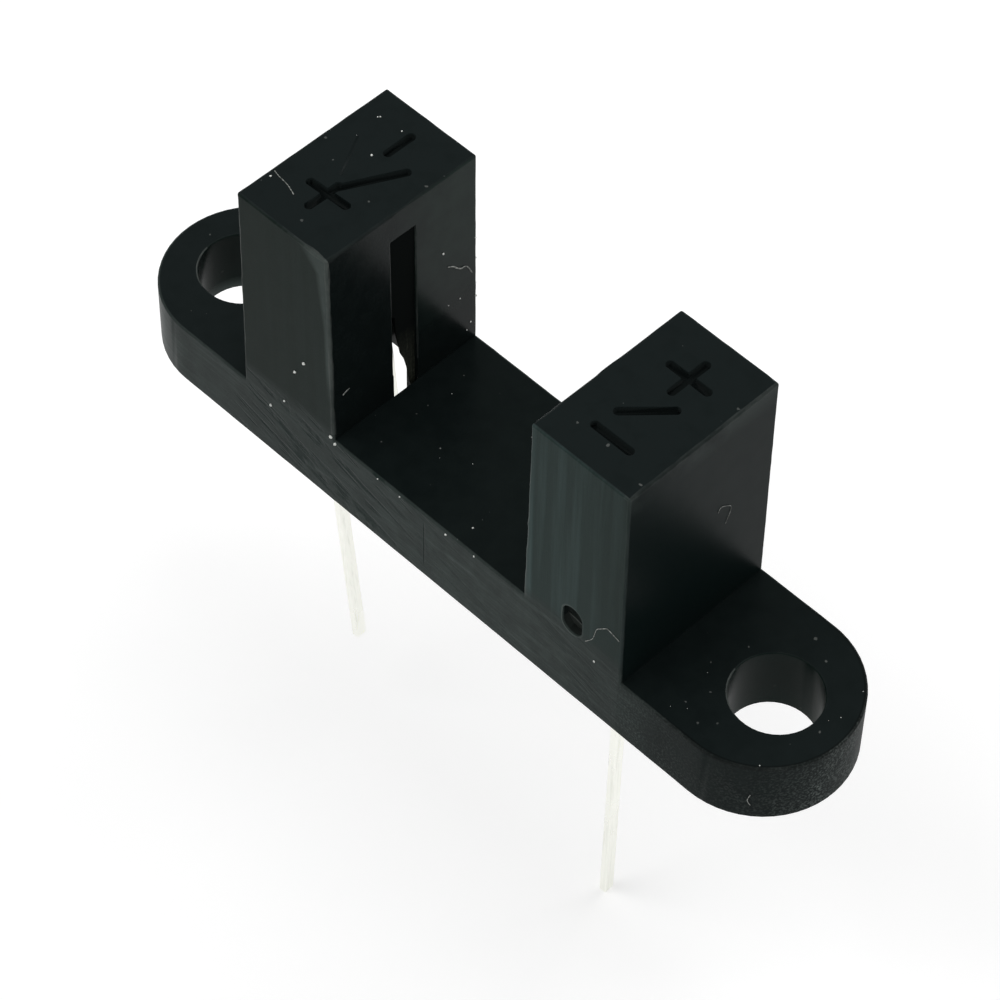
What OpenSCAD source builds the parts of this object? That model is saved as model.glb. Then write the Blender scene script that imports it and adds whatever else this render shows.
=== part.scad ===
// Slotted optical switch. An infrared emitter and a detector face each other across a beam gap.
// Each sits in a hollow tower of one black moulding, which is screwed down by its two ears, and looks
// through a slit that a dark infrared-passing film keeps clean; the emitter's film has lost a corner.
// The seating face is z = 0, the beam runs along X and the leads point down.

/* [Base] */
// Depth of the base and the towers, front to back
base_depth = 6; // [5:0.1:9]
// Thickness of the mounting ears
ear_thick = 2.45; // [1.5:0.05:3.5]
// Diameter of the mounting holes
hole_dia = 2.85; // [2:0.05:3.8]
// From a tower's outer foot to the centre of its mounting hole
hole_from_tower = 3.35; // [2.5:0.05:6]
// From the centre of a mounting hole to the tip of its ear
hole_to_tip = 2.5; // [2.2:0.05:5]

/* [Beam gap] */
// Width of the beam gap at its floor
gap_w = 8; // [3:0.1:12]
// Height of the gap's floor above the seating face
floor_h = 2.95; // [2:0.05:4]

/* [Towers] */
// Overall height above the seating face
tower_h = 10.9; // [9:0.1:15]
// Length of a tower at its foot, along the beam
tower_len = 3.95; // [3.2:0.05:6]
// Draft of the faces towards the gap, in degrees
inner_draft = 0.75; // [0:0.05:1.5]
// Draft of the faces away from the gap, in degrees
outer_draft = 0.55; // [0:0.05:1.5]
// Wall towards the gap, at the foot
gap_wall = 0.5; // [0.4:0.05:0.8]
// Wall away from the gap, at the foot
outer_wall = 0.65; // [0.4:0.05:1]
// Front and back walls
side_wall = 0.63; // [0.4:0.01:0.9]
// Thickness of the roof
roof = 0.9; // [0.4:0.05:2]
// Width of the slits that the beam passes
slit_w = 1; // [0.3:0.05:2]
// Step from the cavity's ceiling down to the top of a slit
slit_step = 0.2; // [0:0.05:2]
// Width of the lead-in slope round the mouth of a cavity
mouth_w = 0.3; // [0.1:0.05:0.35]
// Height of the lead-in slope
mouth_h = 0.5; // [0.2:0.05:1]

/* [Ribs in the cavities] */
// How far a crush rib stands out of its wall
rib_h = 0.17; // [0.1:0.01:0.3]
// Width of a crush rib
rib_w = 0.4; // [0.2:0.05:0.6]
// Length of the slope at a crush rib's lower end
rib_lead_in = 0.6; // [0.2:0.05:1.5]

/* [Gate scar] */
// Width of the scar on the detector tower's front face
scar_w = 0.8; // [0.4:0.05:1.5]
// Straight length of the scar's sides
scar_run = 0.4; // [0.1:0.05:1]
// Depth of the scar
scar_depth = 0.3; // [0.1:0.05:0.35]
// From the gap's floor to the middle of the scar
scar_up = 0.65; // [0.4:0.05:3]

/* [Films in the slits] */
// Thickness of a film
film_t = 0.06; // [0.03:0.01:0.12]
// From a slit's foot at the gap to its film
film_in = 0.15; // [0.12:0.01:0.25]
// Height of a film's lower end above the seating face
film_foot = 2.3; // [0.5:0.1:4]
// Width that the tear has taken from the emitter's film
tear_w = 0.96; // [0.2:0.02:0.98]
// Height up to which the emitter's film is torn
tear_h = 4.1; // [1:0.1:5]

/* [Emitter and detector packages] */
// Height of the moulded packages
package_h = 5.7; // [4.5:0.1:7]
// Cut at the upper corners of the packages
package_cut = 0.5; // [0.1:0.05:1.2]
// Height of the lens above the package's face
lens_h = 0.9; // [0.5:0.05:1.1]
// Radius of the lens where it meets the package's face
lens_r = 1.1; // [1.05:0.05:1.6]
// Room between the lens and the wall with the slit
lens_room = 0.35; // [0.05:0.05:0.6]
// From the top of a package down to the beam
beam_drop = 2.7; // [1.8:0.05:3.2]

/* [Lead frames] */
// Distance between the two leads of a package
lead_pitch = 2.54; // [2.1:0.01:3]
// Width of a lead
lead_w = 0.4; // [0.3:0.05:0.6]
// Thickness of a lead
lead_t = 0.25; // [0.15:0.05:0.4]
// Width of the die pad
pad_w = 0.9; // [0.75:0.05:1]
// Height of the die pad
pad_h = 1.2; // [0.8:0.05:1.8]
// From the die's centre to the bond on the other lead
bond_reach = 0.85; // [0.8:0.05:0.95]
// Length and height of the bond pad
bond_pad = 0.4; // [0.3:0.05:0.5]
// Diameter of the bond wires
wire_dia = 0.05; // [0.03:0.01:0.08]
// Side of the emitter's die
emitter_die_w = 0.35; // [0.25:0.05:0.7]
// Side of the detector's die
detector_die_w = 0.7; // [0.3:0.05:0.75]
// Thickness of both dies
die_t = 0.25; // [0.1:0.05:0.35]

/* [Leads below the seating face] */
// Length of the emitter's anode lead
anode_len = 9.3; // [3:0.1:20]
// Length of the emitter's cathode lead
cathode_len = 7.5; // [3:0.1:20]
// Lean of the emitter's leads towards the gap, in degrees
emitter_lean = 6.6; // [0:0.1:8]
// Length of the detector's emitter lead
emitter_pin_len = 11.9; // [3:0.1:20]
// Length of the detector's collector lead
collector_len = 7.5; // [3:0.1:20]
// Lean of the detector's leads towards the gap, in degrees
detector_lean = 0.4; // [0:0.1:8]

/* [Hidden] */
$fn = 64;

// Extra length that lets a cut pass clear of the face it opens
over = 0.5;

inner_foot = gap_w / 2;
outer_foot = inner_foot + tower_len;
inner_top = inner_foot + (tower_h - floor_h) * tan(inner_draft);
outer_top = outer_foot - (tower_h - ear_thick) * tan(outer_draft);
hole_x = outer_foot + hole_from_tower;
tip_x = hole_x + hole_to_tip;
end_r = base_depth / 2;

ceiling = tower_h - roof;
cavity_near = inner_foot + gap_wall;
cavity_far = outer_foot - outer_wall;
cavity_w = base_depth - 2 * side_wall;
slit_top = ceiling - slit_step;

package_w = cavity_w - 2 * rib_h;
package_foot = ceiling - package_h;
package_face = cavity_near + lens_room + lens_h;
lead_x = (package_face + cavity_far) / 2;
pad_face = lead_x - lead_t / 2;
beam_z = ceiling - beam_drop;
lens_sphere = (lens_r * lens_r + lens_h * lens_h) / (2 * lens_h);

// The wire's arc stands square on the bond pad and ends at the middle of the die
wire_arc = (bond_reach * bond_reach + die_t * die_t) / (2 * bond_reach);
wire_start = 180 - acos(die_t / wire_arc);
wire_bite = 8;

// The torn edge, from the slit's front wall down to the film's lower end, as shares of the tear
tear_line = [
    [0, 1], [0.2, 0.98], [0.24, 0.8], [0.46, 0.52], [0.62, 0.43], [0.73, 0.32], [0.83, 0.16], [0.94, 0.06],
    [1, 0]
];

black_resin = [0.07, 0.075, 0.075];
infrared_film = [0.09, 0.09, 0.08];
dark_epoxy = [0.10, 0.06, 0.09];
tinned = [0.80, 0.81, 0.80];
gallium = [0.32, 0.34, 0.38];
silicon = [0.28, 0.30, 0.42];
gold = [0.83, 0.66, 0.28];

// Housing

module on_both_sides() {
    children();
    mirror([1, 0, 0])
        children();
}

// Section through both towers and the floor between them, the same over the whole depth
module tower_section() {
    right = [
        [inner_foot, floor_h], [inner_top, tower_h], [outer_top, tower_h],
        [outer_foot, ear_thick], [outer_foot, 0]
    ];
    left = [for (i = [len(right) - 1 : -1 : 0]) [-right[i][0], right[i][1]]];
    rotate([90, 0, 0])
        linear_extrude(base_depth, center = true)
            polygon(concat(left, right));
}

// Round-ended ear with its mounting hole, rooted in the tower's outer wall
module ear() {
    straight = tip_x - end_r - cavity_far;
    linear_extrude(ear_thick) {
        translate([cavity_far, -base_depth / 2])
            square([straight, base_depth]);
        translate([tip_x - end_r, 0])
            circle(end_r);
    }
}

module mounting_hole() {
    translate([hole_x, 0, -over])
        cylinder(d = hole_dia, h = ear_thick + 2 * over);
}

// One rib on a side wall, sloped at its foot so that a package slides in from below
module crush_rib() {
    wall = cavity_w / 2;
    crest = wall - rib_h;
    translate([lead_x + rib_w / 2, 0, 0])
        rotate([90, 0, -90])
            linear_extrude(rib_w)
                polygon([
                    [wall + over, package_foot], [wall, package_foot],
                    [crest, package_foot + rib_lead_in], [crest, ceiling + over],
                    [wall + over, ceiling + over]
                ]);
}

// Section of a cavity's mouth between two of its walls, wider towards the seating face
module mouth_section(low, high) {
    polygon([
        [low - mouth_w, -over], [low - mouth_w, 0], [low, mouth_h], [high, mouth_h],
        [high + mouth_w, 0], [high + mouth_w, -over]
    ]);
}

// Lead-in slopes on all four sides of a cavity's mouth
module cavity_mouth() {
    half = cavity_w / 2;
    intersection() {
        translate([cavity_near - mouth_w, 0, 0])
            rotate([90, 0, 90])
                linear_extrude(cavity_far - cavity_near + 2 * mouth_w)
                    mouth_section(-half, half);
        translate([0, half + mouth_w, 0])
            rotate([90, 0, 0])
                linear_extrude(cavity_w + 2 * mouth_w)
                    mouth_section(cavity_near, cavity_far);
    }
}

// Room for a package, open at the seating face, with the slit that reaches the gap's foot
module tower_cavity() {
    cavity_mouth();
    difference() {
        translate([cavity_near, -cavity_w / 2, -over])
            cube([cavity_far - cavity_near, cavity_w, ceiling + over]);
        crush_rib();
        mirror([0, 1, 0])
            crush_rib();
    }
    translate([inner_foot, -slit_w / 2, -over])
        cube([gap_wall + over, slit_w, slit_top + over]);
}

module gate_scar() {
    translate([(inner_foot + outer_foot) / 2, scar_depth - base_depth / 2, floor_h + scar_up])
        rotate([90, 0, 0])
            linear_extrude(scar_depth + over) {
                square([scar_w, scar_run], center = true);
                for (end = [-1, 1])
                    translate([0, end * scar_run / 2])
                        circle(d = scar_w);
            }
}

module housing() {
    color(black_resin)
        difference() {
            union() {
                tower_section();
                on_both_sides()
                    ear();
            }
            on_both_sides() {
                mounting_hole();
                tower_cavity();
            }
            gate_scar();
        }
}

// Films, upright between a slit's two walls and up against its top

module film_sheet() {
    translate([inner_foot + film_in, -slit_w / 2, film_foot])
        rotate([90, 0, 90])
            linear_extrude(film_t)
                children();
}

module emitter_film() {
    film_h = slit_top - film_foot;
    torn_edge = [for (share = tear_line) [share[0] * tear_w, share[1] * tear_h]];
    color(infrared_film)
        emitter_side()
            film_sheet()
                polygon(concat([[slit_w, 0], [slit_w, film_h], [0, film_h]], torn_edge));
}

module detector_film() {
    color(infrared_film)
        film_sheet()
            square([slit_w, slit_top - film_foot]);
}

// One package, drawn on the detector's side

// Flat outline of a lead frame piece, given in Y and Z, at the package's middle plane
module frame_plane() {
    translate([pad_face, 0, 0])
        rotate([90, 0, 90])
            linear_extrude(lead_t)
                children();
}

// The part of a lead below its package, leaning towards the gap
module lead_tail(y, below, lean) {
    shift = (package_foot + below) * tan(lean);
    translate([0, y + lead_w / 2, 0])
        rotate([90, 0, 0])
            linear_extrude(lead_w)
                polygon([
                    [pad_face, package_foot], [pad_face - shift, -below],
                    [pad_face - shift + lead_t, -below], [pad_face + lead_t, package_foot]
                ]);
}

// Lead that carries the die on its pad
module die_lead(below, lean) {
    lead_y = lead_pitch / 2;
    frame_plane() {
        translate([lead_y - lead_w / 2, package_foot])
            square([lead_w, beam_z + pad_h / 2 - package_foot]);
        translate([-pad_w / 2, beam_z - pad_h / 2])
            square([lead_y + (lead_w + pad_w) / 2, pad_h]);
    }
    lead_tail(lead_y, below, lean);
}

// Lead that the bond wire runs to
module bond_lead(below, lean) {
    lead_y = -lead_pitch / 2;
    frame_plane() {
        translate([lead_y - lead_w / 2, package_foot])
            square([lead_w, beam_z + bond_pad / 2 - package_foot]);
        translate([lead_y - lead_w / 2, beam_z - bond_pad / 2])
            square([lead_w / 2 - lead_y - bond_reach + bond_pad / 2, bond_pad]);
    }
    lead_tail(lead_y, below, lean);
}

module die(side) {
    translate([pad_face - die_t, -side / 2, beam_z - side / 2])
        cube([die_t, side, side]);
}

module bond_wire(die_side) {
    difference() {
        translate([pad_face, wire_arc - bond_reach, beam_z])
            rotate([0, 0, wire_start - wire_bite])
                rotate_extrude(angle = 270 - wire_start + wire_bite)
                    translate([wire_arc, 0])
                        circle(d = wire_dia);
        die(die_side);
    }
}

// Moulded epoxy with its lens, cast round the lead frame, the die and the wire
module package_body(die_side) {
    half = package_w / 2;
    shoulder = package_h - package_cut;
    difference() {
        union() {
            translate([package_face, 0, package_foot])
                rotate([90, 0, 90])
                    linear_extrude(cavity_far - package_face)
                        polygon([
                            [-half, 0], [half, 0], [half, shoulder], [half - package_cut, package_h],
                            [package_cut - half, package_h], [-half, shoulder]
                        ]);
            intersection() {
                translate([package_face - lens_h + lens_sphere, 0, beam_z])
                    sphere(lens_sphere);
                translate([package_face - lens_h - over, -lens_sphere, beam_z - lens_sphere])
                    cube([lens_h + over + lead_x - package_face, 2 * lens_sphere, 2 * lens_sphere]);
            }
        }
        die_lead(0, 0);
        bond_lead(0, 0);
        die(die_side);
        bond_wire(die_side);
    }
}

// Emitter, the same package turned to face the other way

module emitter_side() {
    mirror([1, 0, 0])
        children();
}

module emitter_body() {
    color(dark_epoxy)
        emitter_side()
            package_body(emitter_die_w);
}

module emitter_anode_lead() {
    color(tinned)
        emitter_side()
            bond_lead(anode_len, emitter_lean);
}

module emitter_cathode_lead() {
    color(tinned)
        emitter_side()
            die_lead(cathode_len, emitter_lean);
}

module emitter_die() {
    color(gallium)
        emitter_side()
            die(emitter_die_w);
}

module emitter_bond_wire() {
    color(gold)
        emitter_side()
            bond_wire(emitter_die_w);
}

// Detector

module detector_body() {
    color(dark_epoxy)
        package_body(detector_die_w);
}

module detector_emitter_lead() {
    color(tinned)
        bond_lead(emitter_pin_len, detector_lean);
}

module detector_collector_lead() {
    color(tinned)
        die_lead(collector_len, detector_lean);
}

module detector_die() {
    color(silicon)
        die(detector_die_w);
}

module detector_bond_wire() {
    color(gold)
        bond_wire(detector_die_w);
}

housing();
emitter_film();
detector_film();
emitter_body();
emitter_anode_lead();
emitter_cathode_lead();
emitter_die();
emitter_bond_wire();
detector_body();
detector_emitter_lead();
detector_collector_lead();
detector_die();
detector_bond_wire();
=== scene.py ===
"""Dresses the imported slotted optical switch: a black two-towered moulding, its packages and leads."""
import math
import random
import bmesh
import bpy
from mathutils import Matrix, Vector


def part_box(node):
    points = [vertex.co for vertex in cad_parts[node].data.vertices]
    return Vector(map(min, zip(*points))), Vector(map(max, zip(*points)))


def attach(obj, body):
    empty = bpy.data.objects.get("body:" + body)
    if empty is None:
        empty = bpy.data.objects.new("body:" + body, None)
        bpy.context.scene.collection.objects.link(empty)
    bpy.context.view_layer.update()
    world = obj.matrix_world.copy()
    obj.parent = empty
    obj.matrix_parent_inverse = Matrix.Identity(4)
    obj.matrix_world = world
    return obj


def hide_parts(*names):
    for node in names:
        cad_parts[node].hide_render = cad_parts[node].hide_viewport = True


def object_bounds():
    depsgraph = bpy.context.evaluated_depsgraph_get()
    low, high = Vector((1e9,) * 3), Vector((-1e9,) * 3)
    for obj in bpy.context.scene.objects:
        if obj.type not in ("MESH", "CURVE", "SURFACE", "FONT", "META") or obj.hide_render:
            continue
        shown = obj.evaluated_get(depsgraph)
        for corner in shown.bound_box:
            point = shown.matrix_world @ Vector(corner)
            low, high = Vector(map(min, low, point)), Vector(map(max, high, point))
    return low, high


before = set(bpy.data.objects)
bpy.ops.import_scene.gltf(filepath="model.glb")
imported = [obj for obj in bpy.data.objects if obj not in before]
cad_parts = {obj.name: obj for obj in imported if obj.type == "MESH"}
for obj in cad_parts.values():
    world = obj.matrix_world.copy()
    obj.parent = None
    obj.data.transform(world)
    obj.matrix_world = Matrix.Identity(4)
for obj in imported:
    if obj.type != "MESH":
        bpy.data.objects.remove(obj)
cad_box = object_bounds()

# Housing: one moulding of black glass-filled resin, two hollow towers on a base with a screw ear at each
# end. It leaves its mould with nearly sharp edges, a little ragged flash and recessed polarity signs;
# handling has since scuffed its sides and the towers' rims. Its colour also carries painted light: lighter
# tops, darker recesses, and pale highlights, glints and a reflection on its edges and faces.
MM = 0.001
rng = random.Random(11)

tower_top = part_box("housing")[1].z
half_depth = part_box("housing")[1].y
ear_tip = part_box("housing")[1].x
end_centre = ear_tip - half_depth
gap_floor = 2.95 * MM
hole_axis = 11.3 * MM
hole_radius = 1.425 * MM
inner_top = 4.104 * MM
outer_top = 7.869 * MM
hollow_near = 3.95 * MM
hollow_far = 7.65 * MM
hollow_half = 2.72 * MM
slit_half = 0.5 * MM
scar_middle = (5.975 * MM, 3.6 * MM)
scar_reach_x = (5 * MM, 7 * MM)
scar_reach_z = (3 * MM, 4.3 * MM)

edge_radius = 0.13 * MM
slit_share = 0.25
rim_share = 0.55
foot_share = 0.35
plain_share = 0.5
edge_piece = 0.25 * MM
arc_piece = 0.5 * MM
sharp_angle = math.radians(25)
rounded_angle = math.radians(40)
weld_distance = 0.001 * MM
flat_angle = math.radians(0.6)

stroke_width = 0.34 * MM
stroke_depth = 0.2 * MM
faint_width = 0.14 * MM
faint_depth = 0.012 * MM
stroke_taper = 0.65
stroke_above = 0.05 * MM
stroke_sides = 18
emitter_sign = [
    ((-6.69, -1.17), (-5.31, -1.1), stroke_width, stroke_depth),
    ((-6.05, -1.84), (-6.02, -0.72), stroke_width, stroke_depth),
    ((-5.98, -0.78), (-5.03, 1.06), stroke_width, stroke_depth),
    ((-6.3, -0.35), (-7.02, 1.0), faint_width, faint_depth),
    ((-5.95, 1.2), (-5.95, 2.12), stroke_width, stroke_depth),
]
detector_sign = [
    ((5.3, 1.3), (6.7, 1.3), stroke_width, stroke_depth),
    ((6.0, 0.62), (6.0, 1.98), stroke_width, stroke_depth),
    ((6.55, 0.2), (5.45, -0.95), stroke_width, stroke_depth),
    ((5.35, -1.75), (6.65, -1.75), stroke_width, stroke_depth),
]


def mesh_object(name, shape):
    """Puts a finished bmesh into the scene as an object at the origin."""
    mesh = bpy.data.meshes.new(name)
    shape.to_mesh(mesh)
    shape.free()
    made = bpy.data.objects.new(name, mesh)
    bpy.context.scene.collection.objects.link(made)
    return made


def cut_stroke(shape, start, end, width, depth):
    """Adds the tapered, round-ended cutter of one recessed stroke on a tower's top."""
    run = Vector(end) - Vector(start)
    cone = bmesh.ops.create_cone(
        shape, cap_ends=True, segments=stroke_sides, depth=depth + stroke_above,
        radius1=stroke_taper * width / 2, radius2=width / 2)
    for vert in cone["verts"]:
        vert.co.x += math.copysign(run.length * MM / 2, vert.co.x)
    middle = (Vector(start) + Vector(end)) / 2 * MM
    height = tower_top + (stroke_above - depth) / 2
    turn = Matrix.Rotation(math.atan2(run.y, run.x), 4, "Z")
    place = Matrix.Translation((middle.x, middle.y, height)) @ turn
    bmesh.ops.transform(shape, matrix=place, verts=cone["verts"])


def merged_copy(node_name, cuts=()):
    """A bmesh of a CAD node, loose triangles joined and flat faces whole but for some plane cuts."""
    shape = bmesh.new()
    shape.from_mesh(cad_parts[node_name].data)
    bmesh.ops.remove_doubles(shape, verts=shape.verts, dist=weld_distance)
    for point, normal in cuts:
        everything = [*shape.verts, *shape.edges, *shape.faces]
        cut = bmesh.ops.bisect_plane(
            shape, geom=everything, plane_co=point, plane_no=normal, dist=weld_distance)
        for part in cut["geom_cut"]:
            if isinstance(part, bmesh.types.BMEdge):
                part.seam = True
    bmesh.ops.dissolve_limit(
        shape, angle_limit=flat_angle, verts=shape.verts, edges=shape.edges, delimit={"SEAM"})
    return shape


def edge_middle(edge):
    """The middle of an edge."""
    return (edge.verts[0].co + edge.verts[1].co) / 2


def at_hole(point, margin=weld_distance):
    """Whether a point lies on the rim or the wall of a mounting hole."""
    return math.hypot(abs(point.x) - hole_axis, point.y) < hole_radius + margin


def rounding(edge):
    """The share of the full edge radius that an edge of the moulding gets: none inside the towers."""
    if not edge.is_convex or edge.calc_face_angle(0) < sharp_angle:
        return 0
    middle = edge_middle(edge)
    aside = abs(middle.x)
    deep = abs(middle.y)
    high = middle.z
    if aside < inner_top + weld_distance and deep < slit_half + weld_distance and high > gap_floor + MM:
        return slit_share
    if hollow_near < aside < hollow_far and deep < hollow_half and high < tower_top - weld_distance:
        return 0
    if scar_reach_x[0] < aside < scar_reach_x[1] and scar_reach_z[0] < high < scar_reach_z[1]:
        return 0
    if high > tower_top - weld_distance:
        return rim_share
    if at_hole(middle):
        return foot_share if high > weld_distance else 0
    if high < weld_distance:
        return foot_share
    return plain_share


def between(value, low, high):
    """How far a value has gone from one bound to the other, from 0 to 1."""
    return min(1, max(0, (value - low) / (high - low)))


def wear_and_highlight(middle):
    """How far handling has scuffed an edge of the moulding, from 0 to 1, at a point on it; the same levels
    also set where the edges carry painted highlights.
    """
    at_front = middle.y < -half_depth + edge_radius
    if middle.z > tower_top - edge_radius:
        if middle.x > outer_top - 2 * edge_radius:
            return 0.35
        return max(0.1, between(middle.x, -6.4 * MM, -4.6 * MM)) if at_front and middle.x < 0 else 0.1
    hole_side = middle.x - math.copysign(hole_axis, middle.x)
    if at_hole(middle, edge_radius):
        return 0.9 if hole_side + middle.y < -1.2 * hole_radius else 0.1
    if abs(middle.y) < slit_half + edge_radius:
        return 0.4
    if at_front and middle.z > gap_floor + edge_radius:
        if middle.x > inner_top + MM:
            return 0.2
        return max(0.6, between(middle.z, 8 * MM, 10.6 * MM)) if abs(middle.x + inner_top) < MM else 0.6
    return 0.15


round_cuts = [((0, 0, 0), (0, 1, 0))]
for crossing in (hole_axis, -hole_axis, scar_middle[0]):
    round_cuts.append(((crossing, 0, 0), (1, 0, 0)))
shape = merged_copy("housing", round_cuts)
for edge in [edge for edge in shape.edges if rounding(edge) and edge.calc_length() > arc_piece]:
    bmesh.ops.subdivide_edges(shape, edges=[edge], cuts=int(edge.calc_length() / edge_piece))
weight = shape.edges.layers.float.new("bevel_weight_edge")
for edge in shape.edges:
    share = rounding(edge)
    middle = edge_middle(edge)
    if abs(middle.x) > end_centre or at_hole(middle):
        edge[weight] = share
    elif share:
        wear = 0.6 * wear_and_highlight(middle)
        edge[weight] = min(1, share * (1 + wear) * rng.uniform(0.85 - 0.3 * wear, 1.15 + 0.3 * wear))
blank = mesh_object("moulding_blank", shape)
for name in ("moulded_face", "moulded_edge"):
    blank.data.materials.append(bpy.data.materials.new(name))
edges = blank.modifiers.new("moulded_edges", "BEVEL")
edges.limit_method = "WEIGHT"
edges.width = edge_radius
edges.segments = 3
edges.profile = 0.5
edges.use_clamp_overlap = False
edges.material = 1

cutters = []
for start, end, width, depth in emitter_sign + detector_sign:
    cutter_shape = bmesh.new()
    cut_stroke(cutter_shape, start, end, width, depth * rng.uniform(0.94, 1.06))
    cutters.append(mesh_object("sign_cutter", cutter_shape))
    carving = blank.modifiers.new("sign_stroke", "BOOLEAN")
    carving.operation = "DIFFERENCE"
    carving.solver = "EXACT"
    carving.object = cutters[-1]
carved = bpy.data.meshes.new_from_object(blank.evaluated_get(bpy.context.evaluated_depsgraph_get()))

shape = bmesh.new()
shape.from_mesh(carved)
# Each rounded edge's faces keep their wear level, which the colour uses both for wear and for painted
# highlights along the edges.
wear_highlight_layer = shape.faces.layers.float.new("wear_and_highlight_edge")
for face in shape.faces:
    face.smooth = True
    if face.material_index == 1:
        face[wear_highlight_layer] = wear_and_highlight(face.calc_center_median()) * rng.uniform(0.6, 1)
    face.material_index = 0
housing = mesh_object("moulded_housing", shape)
housing.data.set_sharp_from_angle(angle=rounded_angle)
shading = housing.modifiers.new("even_shading", "WEIGHTED_NORMAL")
shading.keep_sharp = True
shaded = bpy.data.meshes.new_from_object(housing.evaluated_get(bpy.context.evaluated_depsgraph_get()))
normals = [corner.vector.copy() for corner in shaded.corner_normals]
for face in shaded.polygons:
    if face.center.z > tower_top - weld_distance:
        for corner in face.loop_indices:
            normals[corner] = face.normal.copy()
housing.modifiers.remove(shading)
housing.data.normals_split_custom_set(normals)
for spare in (blank, *cutters):
    bpy.data.objects.remove(spare)
for spare in ("moulded_face", "moulded_edge"):
    bpy.data.materials.remove(bpy.data.materials[spare])


def feed(tree, socket, value):
    """Gives a socket a plain value, or a link from another socket."""
    if isinstance(value, bpy.types.NodeSocket):
        tree.links.new(value, socket)
    else:
        socket.default_value = value


def node(tree, kind, inputs=None, **settings):
    """Adds a node with its settings and inputs to a tree."""
    made = tree.nodes.new(kind)
    for name, value in settings.items():
        setattr(made, name, value)
    for name, value in (inputs or {}).items():
        feed(tree, made.inputs[name], value)
    return made


def sum_of(tree, operation, first, second=0.5):
    """One Math node on values or sockets; gives its output."""
    return node(tree, "ShaderNodeMath", {0: first, 1: second}, operation=operation).outputs[0]


def both(tree, *masks):
    """The product of several masks."""
    result = masks[0]
    for mask in masks[1:]:
        result = sum_of(tree, "MULTIPLY", result, mask)
    return result


def total(tree, *values):
    """The sum of several values."""
    result = values[0]
    for value in values[1:]:
        result = sum_of(tree, "ADD", result, value)
    return result


def ramp(tree, value, low, high, to_low=0.0, to_high=1.0):
    """Maps a value from one span to another, held at both ends."""
    spans = {"Value": value, "From Min": low, "From Max": high, "To Min": to_low, "To Max": to_high}
    return node(tree, "ShaderNodeMapRange", spans, clamp=True).outputs["Result"]


def profile(tree, value, stops):
    """A value that changes along the part: stops are pairs of a place in millimetres and a level."""
    first, last = stops[0][0], stops[-1][0]
    share = ramp(tree, value, first * MM, last * MM)
    made = node(tree, "ShaderNodeValToRGB", {"Fac": share})
    while len(made.color_ramp.elements) < len(stops):
        made.color_ramp.elements.new(0.5)
    for element, (spot, level) in zip(made.color_ramp.elements, stops):
        element.position = (spot - first) / (last - first)
        element.color = (level, level, level, 1)
    return made.outputs["Color"]


def mix(tree, factor, first, second):
    """Mixes two colours, or colour sockets, by a mask; gives the colour."""
    mixed = node(tree, "ShaderNodeMix", {"Factor": factor}, data_type="RGBA")
    for name, value in (("A_Color", first), ("B_Color", second)):
        socket = next(s for s in mixed.inputs if s.identifier == name)
        feed(tree, socket, value if isinstance(value, bpy.types.NodeSocket) else (*value, 1))
    return next(s for s in mixed.outputs if s.identifier == "Result_Color")


def effect(name, takes, gives):
    """Starts a shader node group with named sockets; gives the group, its inputs and its output node."""
    group = bpy.data.node_groups.new(name, "ShaderNodeTree")
    for socket, kind in takes.items():
        group.interface.new_socket(socket, in_out="INPUT", socket_type=kind)
    for socket, kind in gives.items():
        group.interface.new_socket(socket, in_out="OUTPUT", socket_type=kind)
    return group, group.nodes.new("NodeGroupInput").outputs, group.nodes.new("NodeGroupOutput")


def use(tree, group, **inputs):
    """Places an effect in a material with its own values; gives its outputs."""
    made = node(tree, "ShaderNodeGroup", node_tree=group)
    for name, value in inputs.items():
        feed(tree, made.inputs[name], value)
    return made.outputs


VALUE = "NodeSocketFloat"
VECTOR = "NodeSocketVector"

streaks, given, result = effect(
    "rub_streaks", {"Place": VECTOR, "Stretch": VECTOR, "Cover": VALUE},
    {"Streak": VALUE, "Height": VALUE})
drawn = node(
    streaks, "ShaderNodeVectorMath", {0: given["Place"], 1: given["Stretch"]}, operation="MULTIPLY")
lines = node(
    streaks, "ShaderNodeTexNoise",
    {"Vector": drawn.outputs[0], "Scale": 1.0, "Detail": 4.0, "Roughness": 0.6}).outputs["Fac"]
rub_from = sum_of(streaks, "SUBTRACT", 0.7, sum_of(streaks, "MULTIPLY", given["Cover"], 0.4))
rub_to = sum_of(streaks, "ADD", rub_from, 0.2)
streaks.links.new(ramp(streaks, lines, rub_from, rub_to), result.inputs["Streak"])
streaks.links.new(lines, result.inputs["Height"])

grain, given, result = effect(
    "moulded_grain", {"Place": VECTOR, "Density": VALUE}, {"Grain": VALUE, "Patch": VALUE})
fine = node(
    grain, "ShaderNodeTexNoise", {"Vector": given["Place"], "Scale": given["Density"], "Detail": 3.0})
patch_density = sum_of(grain, "MULTIPLY", given["Density"], 0.06)
patches = node(
    grain, "ShaderNodeTexNoise", {"Vector": given["Place"], "Scale": patch_density, "Detail": 3.0})
grain.links.new(fine.outputs["Fac"], result.inputs["Grain"])
grain.links.new(patches.outputs["Fac"], result.inputs["Patch"])

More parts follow.
